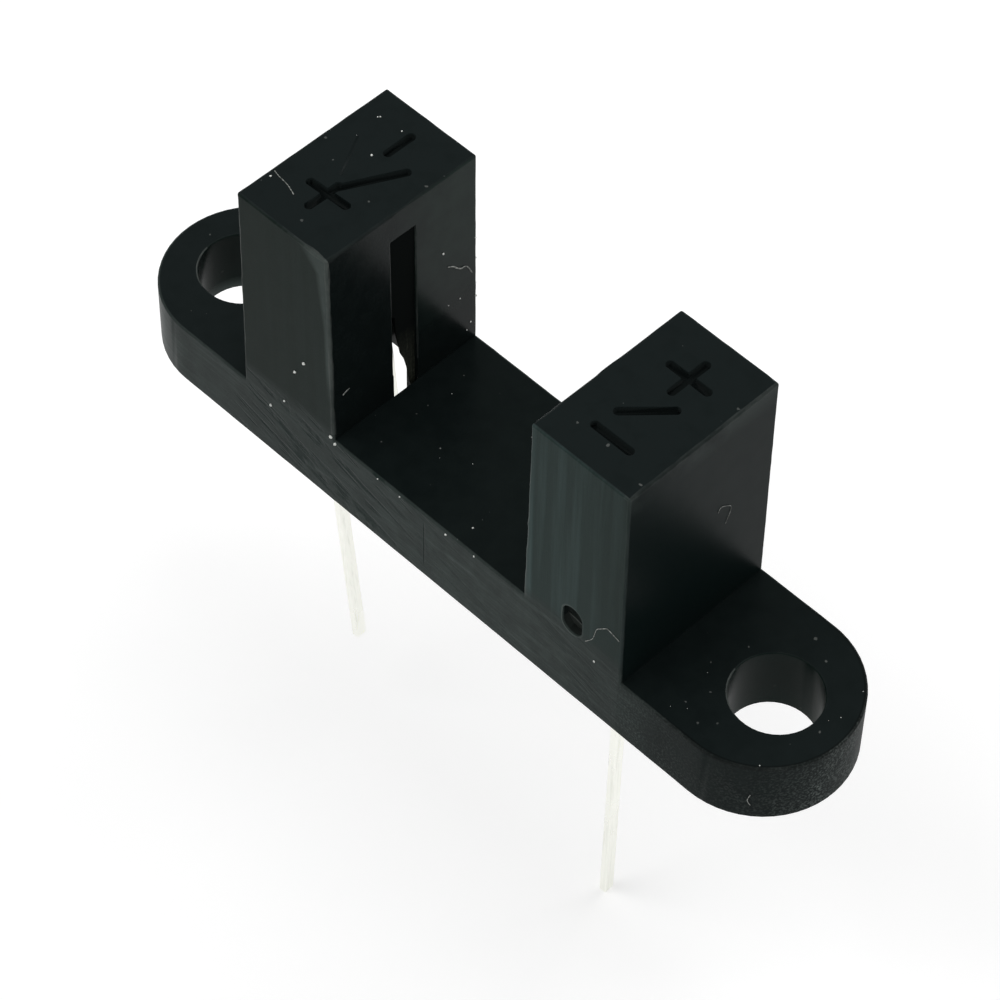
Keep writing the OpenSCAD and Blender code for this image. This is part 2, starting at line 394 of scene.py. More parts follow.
dust, given, result = effect(
    "dust_specks", {"Place": VECTOR, "Density": VALUE, "Share": VALUE}, {"Dust": VALUE})
ragged_density = sum_of(dust, "MULTIPLY", given["Density"], 3.0)
ragged = node(dust, "ShaderNodeTexNoise", {"Vector": given["Place"], "Scale": ragged_density})
ragged_reach = sum_of(dust, "DIVIDE", 0.3, given["Density"])
ragged_shift = node(
    dust, "ShaderNodeVectorMath", {0: ragged.outputs["Color"], "Scale": ragged_reach}, operation="SCALE")
ragged_place = node(
    dust, "ShaderNodeVectorMath", {0: given["Place"], 1: ragged_shift.outputs[0]}, operation="ADD")
cells = node(
    dust, "ShaderNodeTexVoronoi", {"Vector": ragged_place.outputs[0], "Scale": given["Density"]})
chance = node(dust, "ShaderNodeSeparateColor", {"Color": cells.outputs["Color"]})
chosen = sum_of(dust, "LESS_THAN", chance.outputs["Red"], given["Share"])
speck_size = ramp(dust, sum_of(dust, "POWER", chance.outputs["Green"], 3.0), 0.0, 1.0, 0.04, 0.14)
inside = ramp(dust, sum_of(dust, "SUBTRACT", cells.outputs["Distance"], speck_size), -0.02, 0.02, 1.0, 0.0)
brightness = ramp(dust, sum_of(dust, "POWER", chance.outputs["Blue"], 2.0), 0.0, 1.0, 0.12, 1.0)
dust.links.new(both(dust, chosen, inside, brightness), result.inputs["Dust"])


def finish(name):
    """Starts a material; gives it, its tree, its shader and the object coordinates."""
    material = bpy.data.materials.new(name)
    material.use_nodes = True
    tree = material.node_tree
    place = node(tree, "ShaderNodeTexCoord").outputs["Object"]
    return material, tree, tree.nodes["Principled BSDF"], place


resin_colour = (0.0052, 0.0078, 0.0077)
resin_bloom = (0.0064, 0.0094, 0.0092)
top_light_colour = (0.0086, 0.012, 0.0122)
flank_colour = (0.0016, 0.0058, 0.0036)
flank_fleck = (0.0034, 0.0082, 0.0058)
recess_shade_colour = (0.004, 0.0054, 0.0054)
gouge_colour = (0.0075, 0.0145, 0.013)
wall_colour = (0.0028, 0.0094, 0.0076)
outer_shade = (0.0043, 0.0077, 0.0076)
inner_sheen_colour = (0.0092, 0.0185, 0.0152)
wear_and_highlight_colour = (0.057, 0.073, 0.068)
edge_wear_highlight_colour = (0.085, 0.095, 0.09)
smear_and_highlight_colour = (0.062, 0.096, 0.094)
frost_and_glint_colour = (0.16, 0.185, 0.175)
dust_colour = (0.2, 0.21, 0.2)
rub_level = [
    (-13.8, 1), (-12.8, 0.8), (-9, 0.7), (-6, 0.75), (-2, 0.95), (3, 0.95), (6, 0.85), (8, 0.6),
    (9.5, 0.1), (13.8, 0.02),
]
gouge_level = [(-8.6, 0), (-7.8, 1), (-2.5, 0.9), (-0.5, 0.3), (3, 0.15), (5, 0.3), (7, 0.3), (8.5, 0.1)]
# Along the part: how strongly the painted top light lightens the up-facing faces.
top_light_level = [(-13.8, 0.9), (-9, 0.9), (-8, 0.2), (-4, 0.2), (-3, 0), (8.5, 0), (12, 0.6), (13.8, 0.8)]
smear_and_highlight_level = [(-8, 0.05), (-4, 0.1), (3.9, 1), (4.25, 1), (4.35, 0.6), (6.5, 0.54), (8, 0.3)]
frost_and_glint_level = [
    (-13.8, 0.8), (-13.2, 0.05), (7.4, 0.05), (8.4, 0.24), (9.6, 0.22), (10.6, 0.12), (12.9, 0.14),
    (13.5, 0.36), (13.78, 0.85),
]
recess_side = 0.4 * MM
rim_fade = 0.9 * MM
seam_place = -0.13 * MM
seam_half = 0.04 * MM
gouge_tilt = math.radians(-18)
cross_tilt = math.radians(-9)
ear_top = 2.45 * MM
rim_shade = 0.13 * MM
scar_half = 0.4 * MM
scar_straight = 0.2 * MM
scar_rim = 0.07 * MM
scar_torn = 3.31 * MM
torn_slope = -0.22
torn_colour = (0.032, 0.037, 0.034)
inner_slope = 0.0131
inner_foot = -3.961 * MM

black_resin, tree, shader, place = finish("black_resin")
spot = node(tree, "ShaderNodeSeparateXYZ", {"Vector": place}).outputs
faces = node(tree, "ShaderNodeNewGeometry").outputs["Normal"]
upward = node(tree, "ShaderNodeSeparateXYZ", {"Vector": faces}).outputs["Z"]
facing_up = ramp(tree, upward, 0.3, 0.8, 0.15, 1.0)
across = sum_of(tree, "ABSOLUTE", spot["X"])
past_centre = sum_of(tree, "MAXIMUM", sum_of(tree, "SUBTRACT", across, end_centre), 0.0)


def length_of(tree, first, second):
    """The length of a vector with two parts."""
    return sum_of(tree, "SQRT", total(tree, both(tree, first, first), both(tree, second, second)))


reach = length_of(tree, past_centre, spot["Y"])
flank = ramp(tree, reach, half_depth - 0.09 * MM, half_depth - 0.04 * MM)
on_base = ramp(tree, spot["Z"], gap_floor - 0.05 * MM, gap_floor + 0.6 * MM, 1.0, 0.0)
base_flank = both(tree, flank, on_base)
tower_flank = sum_of(tree, "SUBTRACT", flank, base_flank)
scar_across = sum_of(tree, "SUBTRACT", spot["X"], scar_middle[0])
scar_up = sum_of(tree, "ABSOLUTE", sum_of(tree, "SUBTRACT", spot["Z"], scar_middle[1]))
scar_past = sum_of(tree, "MAXIMUM", sum_of(tree, "SUBTRACT", scar_up, scar_straight), 0.0)
scar_reach = length_of(tree, scar_across, scar_past)
front = ramp(tree, spot["Y"], 0.5 * MM, -0.5 * MM)
# Painted highlight: a pale ring round the gate scar's rim, brightest on its left side.
scar_rim_highlight = both(
    tree, flank, front, ramp(tree, scar_reach, scar_half + scar_rim, scar_half + 0.4 * scar_rim),
    ramp(tree, scar_across, -0.3 * scar_half, 0.6 * scar_half, 1.0, 0.35))
torn_line = total(tree, scar_torn, both(tree, scar_across, torn_slope))
scar_inside = both(
    tree, ramp(tree, scar_reach, scar_half + 0.02 * MM, scar_half - 0.02 * MM),
    ramp(tree, spot["Y"], -half_depth + 0.5 * MM, -half_depth + 0.35 * MM),
    sum_of(tree, "SUBTRACT", 1.0, flank))
above_tear = sum_of(tree, "SUBTRACT", spot["Z"], torn_line)
scar_floor = both(tree, scar_inside, ramp(tree, above_tear, 0.03 * MM, 0.0, 0.2, 1.0))

recess_depth = ramp(tree, spot["Z"], tower_top - 0.02 * MM, tower_top - 0.1 * MM)
recess_near = ramp(tree, across, inner_top + 0.8 * recess_side, inner_top + recess_side)
recess_far = ramp(tree, across, outer_top - 0.8 * recess_side, outer_top - recess_side)
recess_deep = ramp(
    tree, sum_of(tree, "ABSOLUTE", spot["Y"]), half_depth - 0.8 * recess_side, half_depth - recess_side)
recess = both(tree, recess_depth, recess_near, recess_far, recess_deep)
outer_face = ramp(tree, spot["X"], outer_top - 0.03 * MM, outer_top)
hole_wall = ramp(
    tree, length_of(tree, sum_of(tree, "SUBTRACT", across, hole_axis), spot["Y"]),
    hole_radius + 0.03 * MM, hole_radius + 0.01 * MM)
inner_face = both(
    tree, ramp(tree, across, inner_top + 0.05 * MM, inner_top + 0.02 * MM),
    ramp(tree, spot["Z"], gap_floor + 0.02 * MM, gap_floor + 0.05 * MM))
# Painted shade: a thin dark line just under the right ear's top rim, round its end.
ear_rim_shade = both(
    tree, ramp(tree, reach, half_depth - rim_shade, half_depth - 0.7 * rim_shade),
    ramp(tree, spot["Z"], ear_top - rim_shade, ear_top - 0.7 * rim_shade),
    ramp(tree, spot["X"], 9 * MM, 10.5 * MM),
    ramp(tree, spot["Z"], ear_top + 0.1 * MM, ear_top + 0.05 * MM))
# The right tower's outer face just under its top: a pale band, partly wear and partly a painted highlight
# along the top edge.
rim_band = both(tree, outer_face, ramp(tree, spot["Z"], tower_top - rim_fade, tower_top))
seam_reach = sum_of(tree, "ABSOLUTE", sum_of(tree, "SUBTRACT", spot["X"], seam_place))
seam = both(
    tree, base_flank, front, ramp(tree, seam_reach, seam_half, 0.4 * seam_half),
    ramp(tree, spot["Z"], 0.5 * MM, 0.8 * MM), ramp(tree, spot["Z"], 2.6 * MM, 2.3 * MM))

resin_grain = use(tree, grain, Place=place, Density=14000.0)
cloudy = use(tree, grain, Place=place, Density=30000.0)


def turned(tree, place, tilt):
    """Coordinates turned about the depth, so that streaks run aslant."""
    return node(tree, "ShaderNodeMapping", {"Vector": place, "Rotation": (0, tilt, 0)}).outputs["Vector"]


tilted = turned(tree, place, gouge_tilt)
gouged = use(tree, streaks, Place=tilted, Stretch=(140.0, 0.0, 2200.0), Cover=0.66)
scratched = use(tree, streaks, Place=place, Stretch=(300.0, 0.0, 4500.0), Cover=0.4)
crossed = turned(tree, place, cross_tilt)
scored = use(tree, streaks, Place=crossed, Stretch=(170.0, 0.0, 3200.0), Cover=0.3)
smeared = use(tree, streaks, Place=place, Stretch=(2200.0, 0.0, 90.0), Cover=0.6)
frost = use(tree, grain, Place=place, Density=13000.0)
specks = use(tree, dust, Place=place, Density=2600.0, Share=0.35)
edge_wear_and_highlight = node(tree, "ShaderNodeAttribute", attribute_name="wear_and_highlight_edge").outputs["Fac"]

mottle = ramp(tree, cloudy["Patch"], 0.3, 0.7, 0.6, 1.0)
rubbing = both(tree, base_flank, mottle, profile(tree, spot["X"], rub_level))
broken = ramp(tree, use(tree, grain, Place=place, Density=22000.0)["Patch"], 0.4, 0.55)
gouging = both(
    tree, base_flank, front, broken, ramp(tree, gouged["Streak"], 0.3, 0.7),
    profile(tree, spot["X"], gouge_level))
smearing_and_highlight = both(
    tree, tower_flank, ramp(tree, front, 0.0, 1.0, 0.2, 1.0), profile(tree, spot["X"], smear_and_highlight_level))
frost_and_glints = both(
    tree, base_flank, profile(tree, spot["X"], frost_and_glint_level),
    ramp(tree, frost["Patch"], 0.35, 0.6, 0.3, 1.0), ramp(tree, spot["Z"], ear_top, 0.0, 0.5, 1.0))
ragged_patch = ramp(tree, resin_grain["Patch"], 0.4, 0.6)
worn_and_highlit = both(tree, edge_wear_and_highlight, ramp(tree, ragged_patch, 0.0, 1.0, 0.45, 1.0))
corner_line = total(tree, spot["X"], both(tree, spot["Z"], inner_slope))
corner_in = sum_of(tree, "SUBTRACT", inner_foot, corner_line)
corner_wide = total(
    tree, ramp(tree, spot["Z"], 7.8 * MM, 10.1 * MM, 0.25 * MM, 0.5 * MM),
    ramp(tree, spot["Z"], 10.1 * MM, 10.8 * MM, 0.0, 0.6 * MM))
emitter_side = ramp(tree, spot["X"], MM, -MM)
# The emitter tower's front face along its inner corner: a pale band, widest near the top, partly wear and
# partly a painted highlight along that edge.
corner_wear_and_highlight = both(
    tree, tower_flank, front, emitter_side, mottle,
    ramp(tree, sum_of(tree, "DIVIDE", corner_in, corner_wide), 1.05, 0.6),
    ramp(tree, spot["Z"], 4.6 * MM, 6.2 * MM))
# Pale mix: real rubbing of the base's sides, with painted highlights on the right tower's outer top band,
# round the gate scar and along the emitter tower's front corner.
pale = total(
    tree, both(tree, rubbing, ramp(tree, scratched["Streak"], 0.0, 1.0, 0.55, 1.0)),
    both(tree, rim_band, ragged_patch, 0.35), both(tree, scar_rim_highlight, 0.9), both(tree, corner_wear_and_highlight, 0.7))
colour = mix(tree, ramp(tree, cloudy["Patch"], 0.35, 0.65), resin_colour, resin_bloom)
flecked = ramp(tree, resin_grain["Grain"], 0.35, 0.65)
colour = mix(tree, tower_flank, colour, mix(tree, flecked, flank_colour, flank_fleck))
on_top = ramp(tree, spot["Z"], tower_top - 0.03 * MM, tower_top - 0.005 * MM)
# Painted top light: the tower tops and the ears' up-facing faces are painted lighter, as light from above
# falls on them; the gap's floor between the towers is left out.
top_lit = sum_of(tree, "MAXIMUM", on_top, both(tree, facing_up, profile(tree, spot["X"], top_light_level)))
colour = mix(tree, both(tree, top_lit, ramp(tree, cloudy["Patch"], 0.3, 0.7, 0.7, 1.3)), colour, top_light_colour)
# Painted reflection: the upper, far part of the emitter tower's inner face is painted lighter and greener,
# standing in for the bright room reflected there.
inner_sheen = both(
    tree, inner_face, emitter_side, mottle, ramp(tree, spot["Y"], -0.4 * MM, 1.4 * MM),
    ramp(tree, spot["Z"], 4.5 * MM, 7.5 * MM))
colour = mix(tree, inner_sheen, colour, inner_sheen_colour)
tower_outer = both(tree, outer_face, ramp(tree, spot["Z"], ear_top, ear_top + 0.05 * MM))
colour = mix(tree, tower_outer, colour, outer_shade)
colour = mix(tree, hole_wall, colour, wall_colour)
# Vertical smears on the towers' sides; they are strongest along the right tower's inner front edge, where
# they paint a pale highlight on that edge.
smear_and_highlight = both(tree, smearing_and_highlight, ramp(tree, smeared["Streak"], 0.0, 1.0, 0.42, 0.74))
colour = mix(tree, smear_and_highlight, colour, smear_and_highlight_colour)
# Painted highlight: a pale band of glare at the foot of the emitter-side hole's wall.
hole_foot_glare = both(tree, hole_wall, emitter_side, ramp(tree, spot["Z"], 0.5 * MM, 0.1 * MM))
colour = mix(tree, total(tree, pale, hole_foot_glare), colour, wear_and_highlight_colour)
colour = mix(tree, scar_floor, colour, torn_colour)
# Painted shade: the recessed strokes of the signs and the line under the right ear's rim are painted
# darker.
colour = mix(tree, sum_of(tree, "MAXIMUM", recess, ear_rim_shade), colour, recess_shade_colour)
colour = mix(tree, sum_of(tree, "MAXIMUM", gouging, both(tree, seam, 0.6)), colour, gouge_colour)
scoring = both(tree, base_flank, front, broken, scored["Streak"], profile(tree, spot["X"], gouge_level))
colour = mix(tree, both(tree, scoring, 0.8), colour, edge_wear_highlight_colour)
# Painted highlights: the rounded edges are painted pale, partly as wear and partly as the highlights that
# light draws along them.
colour = mix(tree, worn_and_highlit, colour, edge_wear_highlight_colour)
# The ears' frosted ends are painted with pale specks: partly the frost's own pale tone and partly painted
# glints.
colour = mix(tree, both(tree, frost_and_glints, ramp(tree, frost["Grain"], 0.46, 0.7), 1.1), colour, frost_and_glint_colour)
clean = sum_of(tree, "SUBTRACT", 1.0, recess)
colour = mix(tree, both(tree, specks["Dust"], facing_up, clean), colour, dust_colour)
feed(tree, shader.inputs["Base Color"], colour)

roughness = total(
    tree, ramp(tree, cloudy["Patch"], 0.3, 0.7, 0.22, 0.26), both(tree, flank, 0.12),
    both(tree, frost_and_glints, 0.1), both(tree, outer_face, 0.1))
feed(tree, shader.inputs["Roughness"], roughness)
shiny = sum_of(tree, "MAXIMUM", inner_face, both(tree, hole_wall, 0.6))
coat = both(tree, shiny, ramp(tree, cloudy["Patch"], 0.3, 0.7, 0.08, 0.1))
feed(tree, shader.inputs["Coat Weight"], coat)
shader.inputs["Coat Roughness"].default_value = 0.2
shader.inputs["Specular IOR Level"].default_value = 0.029
shader.inputs["Specular Tint"].default_value = (0.8, 1, 0.93, 1)

height = total(
    tree, both(tree, resin_grain["Grain"], 0.06), both(tree, gouging, -0.5), both(tree, seam, -0.5),
    both(tree, rubbing, scratched["Height"], 0.5), both(tree, smearing_and_highlight, smeared["Height"], 0.6),
    both(tree, frost_and_glints, frost["Grain"], 0.7))
bump = node(tree, "ShaderNodeBump", {"Height": height, "Strength": 1.0, "Distance": 0.03 * MM})
feed(tree, shader.inputs["Normal"], bump.outputs["Normal"])
housing.data.materials.append(black_resin)
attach(housing, "root")
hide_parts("housing")

# Gate burr: the thin torn sliver that the sprue left across the gate scar when the moulding was broken off
# it. It is the housing's own resin and grows out of the scar's floor; it is painted pale all over with the
# edge colour, partly as wear and partly as a painted highlight.
burr_start = Vector((5.56, -2.71, 3.4)) * MM
burr_end = Vector((6.3, -2.71, 3.24)) * MM
burr_thick = 0.035 * MM
burr_sides = 6
burr_bends = 5

shape = bmesh.new()
run = burr_end - burr_start
bmesh.ops.create_cone(
    shape, cap_ends=True, segments=burr_sides, radius1=burr_thick, radius2=0.4 * burr_thick,
    depth=run.length)
long_edges = [edge for edge in shape.edges if edge.calc_length() > run.length / 2]
bmesh.ops.subdivide_edges(shape, edges=long_edges, cuts=burr_bends)
for vert in shape.verts:
    vert.co += Vector((rng.uniform(-1, 1), rng.uniform(-1, 1), 0)) * 0.2 * burr_thick
aim = Matrix.Translation((burr_start + burr_end) / 2) @ run.to_track_quat("Z", "Y").to_matrix().to_4x4()
bmesh.ops.transform(shape, matrix=aim, verts=shape.verts)
wear_highlight_layer = shape.faces.layers.float.new("wear_and_highlight_edge")
for face in shape.faces:
    face[wear_highlight_layer] = 1
    face.smooth = True
burr = mesh_object("gate_burr", shape)
burr.data.materials.append(black_resin)
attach(burr, "root")

# Slit films: a thin dark sheet stands in each tower's slit, between the slit's two walls, and stands for
# the shade deep in the slit: its dark colour is painted shade, and its lower part is painted lighter as if
# lit from below. It is shaped as a film that passes infrared and keeps dust off the lens, cut from drawn
# film; the emitter's has lost its lower corner.
film_shade_colour = (0.0065, 0.0078, 0.0076)
film_underlight_colour = (0.11, 0.12, 0.09)

infrared_film, tree, shader, place = finish("infrared_film")
film_grain = use(tree, grain, Place=place, Density=16000.0)
film_draw = use(tree, streaks, Place=place, Stretch=(0.0, 9000.0, 900.0), Cover=0.5)
film_height = node(tree, "ShaderNodeSeparateXYZ", {"Vector": place}).outputs["Z"]
# Painted light: the sheet's lower part is painted lighter olive, as if lit from below through the tower.
film_underlit = both(
    tree, ramp(tree, film_height, 5.5 * MM, 3.5 * MM),
    ramp(tree, film_grain["Grain"], 0.35, 0.7, 0.4, 1.0),
    ramp(tree, film_draw["Streak"], 0.0, 1.0, 0.35, 1.0))
feed(tree, shader.inputs["Base Color"], mix(tree, film_underlit, film_shade_colour, film_underlight_colour))
feed(tree, shader.inputs["Roughness"], ramp(tree, film_grain["Patch"], 0.3, 0.7, 0.5, 0.65))
shader.inputs["Specular IOR Level"].default_value = 0.0
bump = node(
    tree, "ShaderNodeBump", {"Height": film_grain["Grain"], "Strength": 0.5, "Distance": 0.01 * MM})
feed(tree, shader.inputs["Normal"], bump.outputs["Normal"])
for film in ("emitter_film", "detector_film"):
    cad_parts[film].data.materials[0] = infrared_film

# Leads: four legs stamped from thin copper-alloy strip and tinned, moulded into the two packages.
# They leave the base below and stand free, the emitter's pair bent a little out of true.
tin_bright = (0.96, 0.965, 0.9)
tin_grey = (0.84, 0.85, 0.78)
lead_edge = 0.03 * MM

tinned_lead, tree, shader, place = finish("tinned_lead")
tin_grain = use(tree, grain, Place=place, Density=9000.0)
tin_draw = use(tree, streaks, Place=place, Stretch=(9000.0, 9000.0, 400.0), Cover=0.45)
feed(tree, shader.inputs["Base Color"], mix(tree, tin_draw["Streak"], tin_bright, tin_grey))
feed(tree, shader.inputs["Roughness"], ramp(tree, tin_grain["Patch"], 0.3, 0.7, 0.24, 0.4))
shader.inputs["Metallic"].default_value = 1.0
height = total(tree, tin_draw["Height"], tin_grain["Grain"])
bump = node(tree, "ShaderNodeBump", {"Height": height, "Strength": 1.0, "Distance": 0.003 * MM})
feed(tree, shader.inputs["Normal"], bump.outputs["Normal"])


def dressed_copy(node_name, piece_name, material, edge_width):
    """A merged copy of a CAD node with its edges rounded, in the node's place."""
    shape = merged_copy(node_name)
    for face in shape.faces:
        face.smooth = True
    piece = mesh_object(piece_name, shape)
    piece.data.set_sharp_from_angle(angle=sharp_angle)
    edges = piece.modifiers.new("eased_edges", "BEVEL")
    edges.limit_method = "ANGLE"
    edges.angle_limit = sharp_angle
    edges.width = edge_width
    edges.segments = 2
    edges.profile = 0.5
    edges.harden_normals = True
    piece.data.materials.append(material)
    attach(piece, "root")
    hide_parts(node_name)
    return piece


for lead in ("emitter_anode", "emitter_cathode", "detector_emitter", "detector_collector"):
    dressed_copy(lead + "_lead", lead + "_leg", tinned_lead, lead_edge)

# Packages: two side-looking bodies of dark infrared-passing epoxy with a moulded lens, one in each tower.
# They are pushed up the hollow towers to the roof and held by small ribs, lens towards the slit.
epoxy_dark = (0.035, 0.037, 0.037)
epoxy_haze = (0.055, 0.057, 0.057)

dark_epoxy, tree, shader, place = finish("dark_epoxy")
epoxy_grain = use(tree, grain, Place=place, Density=8000.0)
feed(tree, shader.inputs["Base Color"], mix(tree, epoxy_grain["Patch"], epoxy_dark, epoxy_haze))
feed(tree, shader.inputs["Roughness"], ramp(tree, epoxy_grain["Patch"], 0.3, 0.7, 0.3, 0.42))
bump = node(
    tree, "ShaderNodeBump", {"Height": epoxy_grain["Grain"], "Strength": 0.4, "Distance": 0.002 * MM})
feed(tree, shader.inputs["Normal"], bump.outputs["Normal"])
for body in ("emitter_body", "detector_body"):
    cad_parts[body].data.materials[0] = dark_epoxy

# Chips and bond wires: an infrared emitter and a photo-transistor, sawn from wafers and bonded to their
# leads. A gold wire finer than a hair joins each to the lead beside it, all of it sealed in the epoxy.
chip_face = {"emitter_chip": (0.16, 0.12, 0.13), "detector_chip": (0.05, 0.06, 0.09)}
chip_edge = {"emitter_chip": (0.3, 0.26, 0.24), "detector_chip": (0.14, 0.15, 0.18)}
for chip, die in (("emitter_chip", "emitter_die"), ("detector_chip", "detector_die")):
    material, tree, shader, place = finish(chip)
    saw = use(tree, streaks, Place=place, Stretch=(3000.0, 3000.0, 30000.0), Cover=0.4)
    feed(tree, shader.inputs["Base Color"], mix(tree, saw["Streak"], chip_face[chip], chip_edge[chip]))
    feed(tree, shader.inputs["Roughness"], ramp(tree, saw["Height"], 0.3, 0.7, 0.15, 0.4))
    shader.inputs["Metallic"].default_value = 0.6
    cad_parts[die].data.materials[0] = material

gold_bright = (0.9, 0.62, 0.22)
gold_dull = (0.8, 0.52, 0.17)
gold_wire, tree, shader, place = finish("gold_wire")
gold_grain = use(tree, grain, Place=place, Density=30000.0)
feed(tree, shader.inputs["Base Color"], mix(tree, gold_grain["Patch"], gold_bright, gold_dull))
feed(tree, shader.inputs["Roughness"], ramp(tree, gold_grain["Patch"], 0.3, 0.7, 0.15, 0.3))
shader.inputs["Metallic"].default_value = 1.0
for wire in ("emitter_bond_wire", "detector_bond_wire"):
    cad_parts[wire].data.materials[0] = gold_wire

# Lint: short pale fibres from a wiping cloth that cling to the moulding's faces.
# Each lies on the face that carries it; the routes are points given along each fibre.
fibre_radius = 0.02 * MM
fibre_routes = [
    (0.8, [(-7.72, -1.64, 10.91), (-7.5, -1.7, 10.91), (-7.2, -1.72, 10.91), (-6.95, -1.77, 10.91),
           (-6.66, -1.88, 10.91)]),
    (1.0, [(-4.04, 1.79, 6.99), (-4.04, 1.99, 6.89), (-4.03, 2.14, 6.68), (-4.03, 2.34, 6.5),
           (-4.03, 2.49, 6.52), (-4.03, 2.64, 6.34), (-4.03, 2.78, 6.0)]),
    (0.7, [(-4.01, -2.58, 4.75), (-4.0, -2.45, 4.86), (-4.01, -2.3, 4.85)]),
    (0.65, [(6.53, -3.005, 3.17), (6.7, -3.005, 3.38), (6.82, -3.005, 3.58), (6.88, -3.005, 3.9),
            (6.93, -3.005, 4.15), (7.1, -3.005, 4.32), (7.32, -3.005, 4.55), (7.4, -3.005, 4.55),
            (7.69, -3.005, 4.45), (7.82, -3.005, 4.41)]),
    (0.42, [(7.92, 0.76, 7.07), (7.92, 0.82, 7.28), (7.92, 1.1, 7.1), (7.93, 1.33, 6.92),
           (7.93, 1.28, 6.62), (7.93, 1.12, 6.28)]),
    (0.6, [(12.62, -2.41, 1.12), (12.57, -2.45, 0.95), (12.56, -2.45, 0.78), (12.64, -2.39, 0.62)]),
]
lint_pale = (0.36, 0.37, 0.35)
lint_grey = (0.1, 0.11, 0.1)

strand = bpy.data.curves.new("lint_fibres", "CURVE")
strand.dimensions = "3D"
strand.bevel_depth = fibre_radius
strand.bevel_resolution = 2
strand.use_fill_caps = True
strand.resolution_u = 6
for thickness, route in fibre_routes:
    spline = strand.splines.new("NURBS")
    spline.points.add(len(route) - 1)
    for point, stop in zip(spline.points, route):
        point.co = (*(Vector(stop) * MM), 1)
        point.radius = thickness * rng.uniform(0.5, 1.3)
    spline.use_endpoint_u = True
    spline.order_u = 3
lint = bpy.data.objects.new("lint_fibres", strand)
bpy.context.scene.collection.objects.link(lint)
lint_cotton, tree, shader, place = finish("lint_cotton")
lint_grain = use(tree, grain, Place=place, Density=12000.0)
feed(tree, shader.inputs["Base Color"], mix(
    tree, ramp(tree, lint_grain["Grain"], 0.4, 0.6), lint_grey, lint_pale))
feed(tree, shader.inputs["Roughness"], ramp(tree, lint_grain["Patch"], 0.3, 0.7, 0.7, 0.9))
lint.data.materials.append(lint_cotton)
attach(lint, "root")

# Grit: crumbs of resin and dust that stick to faces and edges, each a small flattened grain.
# The large and bold ones stand out on the towers and the base's front edge, the fine ones lie on the
# ears and on the gap's floor.
large_grit = [
    (-5.22, -3, 5.52), (-5.64, -3, 4.78), (-6.81, -3, 2.21), (-6.17, -3, 2.97), (-4.13, -3, 3.05),
    (-3.95, -3, 2.86),
]
bold_grit = [
    (-2.11, -3, 2.85), (-1.17, -3, 2.85), (0.79, -3, 2.84), (1.96, -3, 2.88),
    (-7.66, -1.86, 10.9), (-4.05, 1.6, 7.74), (-4.04, 2.3, 5.18), (-4.04, 1.81, 5.25), (-4.01, 2.73, 3.79),
    (-4.01, 2.57, 3.53), (-4.06, 2.95, 7.4), (-4.05, 2.96, 6.5), (-4.04, 2.96, 5.4), (-4.03, 2.96, 4.8),
    (-7.2, 1.98, 10.9), (-7.15, 2.04, 10.9), (-6.3, 2.09, 10.9), (-6.22, 0.8, 10.9), (6.9, -3, 2.54),
    (1.23, -2.32, 2.95),
]
fine_grit = [
    (-1.34, -1.17, 2.95), (-0.49, -0.63, 2.95), (-2.86, 0.82, 2.95), (-7.1, 1.04, 10.9),
    (-7.82, 0.64, 10.9), (12.67, -2.19, 2.45), (12.99, 1.82, 2.45), (9.41, -0.89, 2.45),
    (12.99, 0.36, 2.45), (13.16, 0.69, 2.45), (9.49, -2.52, 2.45), (9.88, -2.23, 2.45),
]
large_size = 0.058 * MM
bold_size = 0.034 * MM
fine_size = 0.014 * MM
crumb_spread = (0.7, 1.35)
lump_spread = (0.7, 1.2)

shape = bmesh.new()
for spots, size in ((large_grit, large_size), (bold_grit, bold_size), (fine_grit, fine_size)):
    for stop in spots:
        radius = size * rng.uniform(*crumb_spread)
        crumb = bmesh.ops.create_icosphere(shape, subdivisions=1, radius=radius)["verts"]
        for vert in crumb:
            vert.co *= rng.uniform(*lump_spread)
        bmesh.ops.translate(shape, verts=crumb, vec=Vector(stop) * MM)
for face in shape.faces:
    face.smooth = True
grit = mesh_object("grit_crumbs", shape)
grit_grey = (0.6, 0.62, 0.59)
grit_pale = (0.92, 0.94, 0.9)
pale_grit, tree, shader, place = finish("pale_grit")
grit_mottle = use(tree, grain, Place=place, Density=20000.0)
feed(tree, shader.inputs["Base Color"], mix(tree, grit_mottle["Patch"], grit_grey, grit_pale))
feed(tree, shader.inputs["Roughness"], ramp(tree, grit_mottle["Grain"], 0.3, 0.7, 0.7, 0.9))
grit.data.materials.append(pale_grit)
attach(grit, "root")

# Studio: a plain pale floor under the leads' tips, a white room and three soft lamps.
# The floor and the room show white to the camera and in reflections, and the floor keeps the shadow.
floor_half = 2.0
floor_white = (0.86, 0.86, 0.86)
room_light = 0.6
floor_glow = 0.31
card_towards = (0.4267, -0.4388, 0.7902)
card_edge = math.cos(math.radians(32))
card_core = math.cos(math.radians(18))
card_level = 0.1

shape = bmesh.new()
bmesh.ops.create_grid(shape, x_segments=1, y_segments=1, size=floor_half)
bmesh.ops.translate(shape, verts=shape.verts, vec=(0, 0, cad_box[0].z))
floor = mesh_object("studio_floor", shape)


def reflected_rays(rays, tree):
    """The rays of reflections and of glass."""
    return sum_of(tree, "MAXIMUM", rays["Is Glossy Ray"], rays["Is Transmission Ray"])


